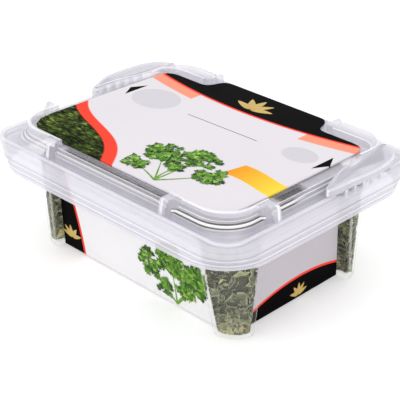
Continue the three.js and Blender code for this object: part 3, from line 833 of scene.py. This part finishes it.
def leaf_green(tree, place):
    """Mottled leaf greens, as printed: fine strokes that run three ways over dark gaps."""
    strokes = None
    for turn in (0.5, 1.7, 2.7):
        laid = add_node(tree, "ShaderNodeMapping", {}, place, Rotation=(0, 0, turn), Scale=(0.34, 1.0, 1.0))
        wisps = noise(tree, laid, 900.0, 2.0, 0.6)
        strokes = wisps if strokes is None else strokes.high(wisps)
    drift = noise(tree, place, 150.0, 3.0)
    return add_node(tree, "ShaderNodeValToRGB", {"stops": [
        (0.46, (0.004, 0.005, 0.003)), (0.56, (0.022, 0.032, 0.008)), (0.64, (0.065, 0.100, 0.018)),
        (0.74, (0.180, 0.250, 0.055)), (0.86, (0.420, 0.460, 0.190))]}, strokes + (drift - 0.5) * 0.35)


def top_print(look):
    """Top sheet: pale field, a leafy front corner behind a red wave, a dark band along the back with
    a red line and salmon ends, a grey oval and a dark pointer by each tab, and an orange drop."""

    def paint(tree, place, x, y, z):
        colour = mixed(noise(tree, place, 30.0), look.film_pale, look.film_cool)
        across = (x + 44.0) / 38.0 + (y + 36.0) / 27.0
        along = (x + 44.0) / 38.0 - (y + 36.0) / 27.0
        wave = across - 0.13 * (along * 2.6 + 0.5).sine()
        colour = mixed(below(wave, 1.13, 0.02), colour, look.film_red)
        colour = mixed(below(wave, 0.95, 0.02), colour, leaf_green(tree, place))
        edge = 22.2 + 0.0030 * (x * x) + 0.028 * x
        ends = below(-abs(x - 1.0), -22.5, 0.2) * below(-y, -(edge - 5.6))
        colour = mixed(ends, colour, look.film_salmon)
        colour = mixed(below(-y, -(edge - 0.9)), colour, look.film_red)
        colour = mixed(below(-y, -edge), colour, look.film_black)
        for side, centre, radii in ((-1, (-29.6, 9.0), (9.0, 7.6)), (1, (31.6, 10.6), (6.2, 4.8))):
            colour = mixed(oval(x, y, centre, radii), colour, look.film_oval)
            mark = pointer(x, y, (side * 42.8, centre[1] + 0.6), 3.0, 5.4, side)
            colour = mixed(mark, colour, look.film_black)
        colour = mixed(bar(x, y, (1.2, 8.1), (14.6, 0.14), 1.8), colour, look.film_black)
        fade = mixed((x - 23.0) / 19.0, look.film_orange, look.film_yellow)
        sway = (x * 0.2 + 2.2).sine()
        ribbon = below(abs(y + 11.6 - 1.0 * sway), 4.2) * below(-x, -24.0 - 0.2 * (y + 11.6))
        return mixed(ribbon, colour, fade)

    return print_sheet("top_print", paint)


def long_print(look, name, side):
    """Long side sheet: pale field and a dark left end with a red edge, as seen from outside."""

    def paint(tree, place, x, y, z):
        colour = mixed(noise(tree, place, 30.0) * 0.3, look.film_front, look.film_cool)
        lean = x * side + 0.0035 * (z - 2.0) * (z - 2.0)
        colour = mixed(below(lean, -24.6), colour, look.film_red)
        return mixed(below(lean, -25.6), colour, look.film_black)

    return print_sheet(name, paint)


def short_print(look, name):
    """Short side sheet: grey field and a dark foot under an arched red line."""

    def paint(tree, place, x, y, z):
        colour = mixed(noise(tree, place, 30.0), look.film_grey, look.film_shade)
        arch = 9.0 - 0.0075 * ((y - 3.0) * (y - 3.0))
        colour = mixed(below(z, arch), colour, look.film_red)
        return mixed(below(z, arch - 0.9), colour, look.film_black)

    return print_sheet(name, paint)


def on_top(u, v, lift):
    """Points on the top sheet."""
    return np.stack([u, v, LABEL_TOP + lift], -1)


def on_panel(axis, side):
    """Points on a side sheet that faces along an axis, u to the right as seen from outside, v up."""

    def place(u, v, lift):
        out = side * (half_sizes(PANELS, v, LABEL_REACH)[axis] + lift)
        return np.stack([-side * u, out, v] if axis else [out, side * u, v], -1)

    return place


def directions(angle):
    """Unit vectors in the plane at the angles."""
    return np.stack([np.cos(angle), np.sin(angle)], -1)


def turned(along, across, heading, u, v):
    """Outline drawn along u, turned to its heading and moved to its centre u, v."""
    c, s = np.cos(heading), np.sin(heading)
    return u + along * c - across * s, v + along * s + across * c


def inked(u, v, lift, place):
    """Closed plate of print over an outline, at one lift off its sheet."""
    lift = np.full(len(u), lift)
    return skin(np.stack([place(u, v, lift + INK), place(u, v, lift)]))


def leaf_slabs(centres, headings, sizes, narrow, lifts, place):
    """Flat printed leaves, each a closed plate at its own lift. Outline: size *
    (0.45 + 0.55 |cos 1.5a|) * (0.84 + 0.16 cos 9a), three toothed lobes round a, made narrower."""
    angle = np.linspace(-math.pi, math.pi, 37)[:-1]
    shape = (0.45 + 0.55 * np.abs(np.cos(1.5 * angle))) * (0.84 + 0.16 * np.cos(9 * angle))
    radius = sizes[:, None] * shape
    along, across = radius * np.cos(angle), radius * np.sin(angle) * narrow[:, None]
    u, v = turned(along, across, headings[:, None], centres[:, :1], centres[:, 1:])
    return [inked(*leaf, place) for leaf in zip(u, v, lifts)]


def stem(root, tip, width, bow, lift, place):
    """Bent stem, a closed strip that narrows to its tip, along the curve
    (1-t)^2 R + 2t(1-t) M + t^2 T, with M beside the middle of the line."""
    t = np.linspace(0, 1, 9)[:, None]
    root, tip = np.asarray(root, float), np.asarray(tip, float)
    way = tip - root
    across = np.array([-way[1], way[0]])
    line = (1 - t) ** 2 * root + 2 * t * (1 - t) * ((root + tip) / 2 + across * bow) + t**2 * tip
    half = width * (1 - 0.6 * t) / 2 * across / np.linalg.norm(across)
    u, v = np.concatenate([line - half, (line + half)[::-1]]).T
    return inked(u, v, lift, place)


def printed_sprigs(name, root, crowns, keep_in, place, seed):
    """Generic sprigs for one sheet as one piece: from the root a stem to each crown, which is an
    ellipse of tufts of toothed leaves with thinner stems to some of them. Leaves that would pass
    the sheet's edge are left out. Crowns give centre, radii and number of tufts."""
    random = np.random.default_rng(seed)
    stems, tufts, levels = [], [], 29

    def add_stem(start, end, width, most_bow):
        lift = 0.01 + 0.003 * len(stems)
        stems.append(stem(start, end, width, random.uniform(-most_bow, most_bow), lift, place))

    for u, v, across, up, count in crowns:
        angle, reach = random.uniform(0, 2 * math.pi, count), np.sqrt(random.uniform(0, 1, count))
        tips = (u, v) + (across, up) * reach[:, None] * directions(angle)
        fork = np.asarray(root) * 0.35 + np.array((u, v)) * 0.65
        add_stem(root, fork, 0.7, 0.15)
        for tip in tips[:6]:
            add_stem(fork, tip, 0.4, 0.2)
        tufts.append(tips)
    tufts, fan = np.concatenate(tufts), 7
    heading = random.uniform(0, 2 * math.pi, (len(tufts), fan))
    reach = random.uniform(0.2, 1.3, (len(tufts), fan))
    centres = (tufts[:, None] + directions(heading) * reach[..., None]).reshape(-1, 2)
    heading = heading.reshape(-1) + random.normal(0, 0.5, len(centres))
    sizes = random.uniform(0.6, 1.25, len(centres))
    low, high = np.reshape(keep_in, (2, 2)).T
    level = np.arange(len(centres)) % levels
    size = sizes[:, None]
    chosen = np.flatnonzero(((centres - size > low) & (centres + size < high)).all(1))
    narrow, lifts = random.uniform(0.6, 1.0, len(chosen)), 0.12 + 0.005 * level[chosen]
    leaves = leaf_slabs(centres[chosen], heading[chosen], sizes[chosen], narrow, lifts, place)
    tint = np.clip(0.12 + 0.55 * level[chosen] / levels + random.normal(0, 0.2, len(chosen)), 0, 1)
    stalk = np.full(sum(len(points) for points, _ in stems), 0.7)
    piece = to_object(name, joined(stems + leaves), crease=20)
    tint = np.concatenate([stalk, np.repeat(tint, len(leaves[0][0]))])
    paint_tint(piece, tint, np.zeros(len(tint)))
    return piece


def gold_leaf(name, centre, size, heading, place):
    """Ornament of five plain leaves that spread from one point, each a little above the last."""
    turns = heading + np.array((-1.3, 1.3, -0.65, 0.65, 0.0))
    centres = centre + directions(turns) * size * 0.95
    angle = np.linspace(-math.pi, math.pi, 33)[:-1]
    along = size * np.cos(angle)
    across = size * 0.33 * np.sin(angle) * (1 - 0.45 * np.cos(angle))
    leaves = []
    for step, (middle, turn) in enumerate(zip(centres, turns)):
        u, v = turned(along, across, turn, *middle)
        leaves.append(inked(u, v, 0.03 + 0.015 * step, place))
    return to_object(name, joined(leaves), crease=20)


def printed_green():
    """Printed leaf greens by the tint map, with paler and darker patches inside each leaf."""
    material, tree, shader, place, _ = new_material("printed_green")
    tint = parts(add_node(tree, "ShaderNodeUVMap", {"uv_map": "tint"}), 1)[0]
    patch = noise(tree, place, 900.0, 3.0, 0.6)
    ramp = add_node(tree, "ShaderNodeValToRGB", {"stops": [
        (0.0, (0.006, 0.022, 0.003)), (0.25, (0.022, 0.080, 0.006)), (0.5, (0.070, 0.200, 0.012)),
        (0.75, (0.160, 0.350, 0.030)), (1.0, (0.340, 0.540, 0.110))]}, tint + (patch - 0.5) * 0.8)
    feed(shader, Base_Color=ramp, Roughness=0.35, Specular_IOR_Level=0.1)
    return material


def printed_gold():
    """Printed gold ink: ochre with a soft metallic sheen."""
    material, tree, shader, place, _ = new_material("printed_gold")
    cloud = noise(tree, place, 120.0, 2.0)
    colour = mixed(cloud, (0.42, 0.27, 0.05), (0.70, 0.50, 0.13))
    feed(shader, Base_Color=colour, Roughness=0.35 + 0.1 * cloud, Metallic=0.3)
    return material


# Controls


def colour(name, text, value):
    """Colour setting."""
    return FloatVectorProperty(name=name, description=text, default=value, subtype="COLOR")


def length(name, text, value):
    """Length setting, from millimetres."""
    return FloatProperty(name=name, description=text, default=value * MM, unit="LENGTH")


def amount(name, text, value):
    """Plain number setting."""
    return FloatProperty(name=name, description=text, default=value)


class TubLook(bpy.types.PropertyGroup):
    """Sizes and colours of the tub."""

    wall: length("Wall", "Thickness of the tub's wall", 1.0)
    flake_count: IntProperty(name="Flakes", description="How many flakes are tried", default=9000)
    flake_length: length("Flake length", "Typical length of one flake", 5.4)
    tub_haze: amount("Tub haze", "How cloudy the clear plastic is", 0.03)
    lid_haze: amount("Lid haze", "How cloudy the lid is", 0.36)
    tub_colour: colour("Tub", "Tint of the clear plastic", (0.80, 0.82, 0.76))
    lid_colour: colour("Lid", "Tint of the milky plastic", (0.80, 0.78, 0.86))
    film_pale: colour("Film", "Field of the top sheet", (0.70, 0.67, 0.70))
    film_front: colour("Front film", "Field of the long sheets", (0.85, 0.84, 0.85))
    film_cool: colour("Film shade", "Cooler parts of the field", (0.66, 0.63, 0.665))
    film_grey: colour("Grey", "Field of the end sheets", (0.50, 0.47, 0.495))
    film_shade: colour("Grey shade", "Cooler parts of the end sheets", (0.515, 0.485, 0.52))
    film_oval: colour("Oval", "Grey ovals", (0.58, 0.56, 0.60))
    film_red: colour("Red", "Edges of the dark bands", (0.84, 0.06, 0.035))
    film_black: colour("Black", "Dark bands", (0.002, 0.0015, 0.002))
    film_salmon: colour("Salmon", "Bars by the tabs", (0.86, 0.30, 0.20))
    film_orange: colour("Orange", "Near end of the bar", (0.80, 0.28, 0.02))
    film_yellow: colour("Yellow", "Far end of the bar", (0.86, 0.62, 0.06))


class StageLook(bpy.types.PropertyGroup):
    """Camera, light and floor."""

    floor_colour: colour("Floor", "Plain floor", (0.75, 0.75, 0.75))
    floor_glow: amount("Floor glow", "How much the floor lights itself", 0.32)
    sky: amount("Sky", "Strength of the even light", 0.95)
    key_power: amount("Main light", "Watts of the large soft light", 1.9)


class OBJECT_OT_clear_tub(bpy.types.Operator):
    """Builds the clear tub on its four legs"""

    bl_idname = "object.clear_tub"
    bl_label = "Clear tub"

    def execute(self, context):
        look = context.scene.tub_look
        tub = tub_shell(look.wall / MM)
        mark_edges(tub)
        settle(tub, clear_plastic(look), ["tub"])
        return {"FINISHED"}


class OBJECT_OT_snap_lid(bpy.types.Operator):
    """Builds the lid with its corner walls, fins and seal tabs"""

    bl_idname = "object.snap_lid"
    bl_label = "Snap lid"

    def execute(self, context):
        lid = lid_shell()
        mark_edges(lid)
        settle(lid, milky_plastic(context.scene.tub_look), ["lid"])
        return {"FINISHED"}


class OBJECT_OT_dried_flakes(bpy.types.Operator):
    """Fills the tub with curled flakes round a core painted dark as shade"""

    bl_idname = "object.dried_flakes"
    bl_label = "Dried flakes"

    def execute(self, context):
        look = context.scene.tub_look
        leaf = dried_leaf()
        for flakes in build_flakes(look):
            settle(flakes, leaf, ["parsley_flakes"])
        core = flake_core(look)
        # Painted shade: the core gets a dark tint standing for the shaded inside of the fill.
        paint_tint(core, np.full(len(core.data.vertices), 0.1), np.zeros(len(core.data.vertices)))
        settle(core, leaf, ["parsley_flakes"])
        return {"FINISHED"}


class OBJECT_OT_print_sheets(bpy.types.Operator):
    """Prints the top sheet and the four side sheets"""

    bl_idname = "object.print_sheets"
    bl_label = "Printed sheets"

    def execute(self, context):
        look = context.scene.tub_look
        sheets = {
            "top_label": top_print(look),
            "label_front": long_print(look, "front_print", 1),
            "label_back": long_print(look, "back_print", -1),
            "label_right": short_print(look, "right_print"),
            "label_left": short_print(look, "left_print"),
        }
        for node, material in sheets.items():
            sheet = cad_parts[node].data
            sheet.materials.clear()
            sheet.materials.append(material)
        return {"FINISHED"}


class OBJECT_OT_printed_leaves(bpy.types.Operator):
    """Prints sprigs and gold ornaments on the sheets"""

    bl_idname = "object.printed_leaves"
    bl_label = "Printed leaves"

    def execute(self, context):
        green, gold = printed_green(), printed_gold()
        top_crowns = [(2.0, -18.0, 6.5, 5.2, 50), (13.5, -13.5, 6.5, 4.6, 44), (0.5, -28.5, 4.2, 3.2, 20),
                      (23.0, -20.0, 4.6, 4.6, 30), (11.0, -22.5, 3.6, 2.6, 12)]
        leaves = printed_sprigs("top_sprigs", (13.0, -33.0), top_crowns, (-6.0, 30.0, -34.0, -5.0), on_top, 3)
        settle(leaves, green)
        side_crowns = [(8.0, 12.5, 4.4, 5.0, 34), (17.5, 17.5, 5.4, 6.5, 58), (27.3, 13.5, 4.6, 6.5, 46),
                       (13.0, 6.0, 3.4, 2.8, 14), (22.5, 7.5, 3.4, 3.2, 18)]
        for node, side, slot in (("front", -1, "front_print"), ("back", 1, "back_print")):
            place = on_panel(1, side)
            room = (2.0, 32.6, 0.9, 30.0)
            settle(printed_sprigs(node + "_sprigs", (18.0, 1.2), side_crowns, room, place, 5), green)
            settle(gold_leaf(node + "_ornament", (-30.4, 5.5), 2.4, math.pi / 2, place), gold)
        for node, side in (("right", 1), ("left", -1)):
            settle(gold_leaf(node + "_ornament", (2.5, 1.9), 2.1, math.pi / 2, on_panel(0, side)), gold)
        settle(gold_leaf("top_ornament", (-2.0, 25.6), 4.0, math.pi / 2, on_top), gold)
        return {"FINISHED"}


class OBJECT_OT_studio_stage(bpy.types.Operator):
    """Sets the pale floor, the soft light and the camera"""

    bl_idname = "object.studio_stage"
    bl_label = "Stage"

    def execute(self, context):
        stage = context.scene.stage_look
        floor_mesh = bpy.data.meshes.new("floor")
        far = 3.0
        floor_mesh.from_pydata([(-far, -far, 0), (far, -far, 0), (far, far, 0), (-far, far, 0)], [],
                               [(0, 1, 2, 3)])
        floor = bpy.data.objects.new("floor", floor_mesh)
        context.scene.collection.objects.link(floor)
        material = bpy.data.materials.new("floor_paint")
        material.use_nodes = True
        feed(material.node_tree.nodes["Principled BSDF"], Base_Color=stage.floor_colour,
             Roughness=0.9, Emission_Color=(1.0, 1.0, 1.0), Emission_Strength=stage.floor_glow)
        floor_mesh.materials.append(material)
        world = bpy.data.worlds.new("even_light")
        world.use_nodes = True
        feed(world.node_tree.nodes["Background"], Color=(1.0, 1.0, 1.0), Strength=stage.sky)
        context.scene.world = world
        for name, place, size, power in (("main_light", (-0.30, -0.55, 0.65), 0.6, stage.key_power),
                                         ("top_light", (0.1, 0.35, 0.8), 0.5, stage.key_power * 0.4),
                                         ("side_light", (0.65, -0.15, 0.30), 0.5, stage.key_power * 0.45)):
            light = bpy.data.lights.new(name, "AREA")
            light.size = size
            light.energy = power
            lamp = bpy.data.objects.new(name, light)
            turn = Vector(place).to_track_quat("Z", "Y").to_matrix().to_4x4()
            lamp.matrix_world = Matrix.Translation(place) @ turn
            context.scene.collection.objects.link(lamp)
        context.scene.camera = photo_camera(context)
        context.scene.view_settings.view_transform = "Standard"
        return {"FINISHED"}


def photo_camera(context):
    """Camera at the photograph's viewing angle: turned round the tub, raised, slightly rolled."""
    azimuth, elevation, roll = (math.radians(v) for v in (AZIMUTH, ELEVATION, ROLL))
    back = np.array((math.sin(azimuth) * math.cos(elevation), -math.cos(azimuth) * math.cos(elevation),
                     math.sin(elevation)))
    right = np.cross((0, 0, 1), back)
    right /= np.linalg.norm(right)
    up = np.cross(back, right)
    rolled_right = math.cos(roll) * right + math.sin(roll) * up
    rolled_up = -math.sin(roll) * right + math.cos(roll) * up
    axes = np.stack([rolled_right, rolled_up, back])
    centre = CAMERA_PLACE @ axes + AXIS_POINT
    camera = bpy.data.cameras.new("photo_camera")
    camera.sensor_width = SENSOR_WIDTH
    camera.lens = FOCAL_PIXELS * SENSOR_WIDTH / PICTURE_PIXELS
    camera.clip_start = 0.01
    view = bpy.data.objects.new("photo_camera", camera)
    turn = Matrix(axes.T.tolist()).to_4x4()
    view.matrix_world = Matrix.Translation((centre * MM).tolist()) @ turn
    context.scene.collection.objects.link(view)
    return view


class VIEW3D_PT_parsley_tub(bpy.types.Panel):
    """Buttons for each piece of the tub"""

    bl_label = "Parsley tub"
    bl_space_type = "VIEW_3D"
    bl_region_type = "UI"
    bl_category = "Parsley tub"

    def draw(self, context):
        for operator in OPERATORS:
            self.layout.operator(operator.bl_idname)
        for group in (context.scene.tub_look, context.scene.stage_look):
            for key in group.bl_rna.properties.keys():
                if key not in ("rna_type", "name"):
                    self.layout.prop(group, key)


OPERATORS = (
    OBJECT_OT_clear_tub,
    OBJECT_OT_snap_lid,
    OBJECT_OT_dried_flakes,
    OBJECT_OT_print_sheets,
    OBJECT_OT_printed_leaves,
    OBJECT_OT_studio_stage,
)
CLASSES = (TubLook, StageLook, *OPERATORS, VIEW3D_PT_parsley_tub)


def register():
    for item in CLASSES:
        bpy.utils.register_class(item)
    bpy.types.Scene.tub_look = PointerProperty(type=TubLook)
    bpy.types.Scene.stage_look = PointerProperty(type=StageLook)


def unregister():
    del bpy.types.Scene.stage_look
    del bpy.types.Scene.tub_look
    for item in reversed(CLASSES):
        bpy.utils.unregister_class(item)


def main():
    register()
    bpy.ops.object.clear_tub()
    bpy.ops.object.snap_lid()
    bpy.ops.object.dried_flakes()
    bpy.ops.object.print_sheets()
    bpy.ops.object.printed_leaves()
    bpy.ops.object.studio_stage()


if __name__ == "__main__":
    main()
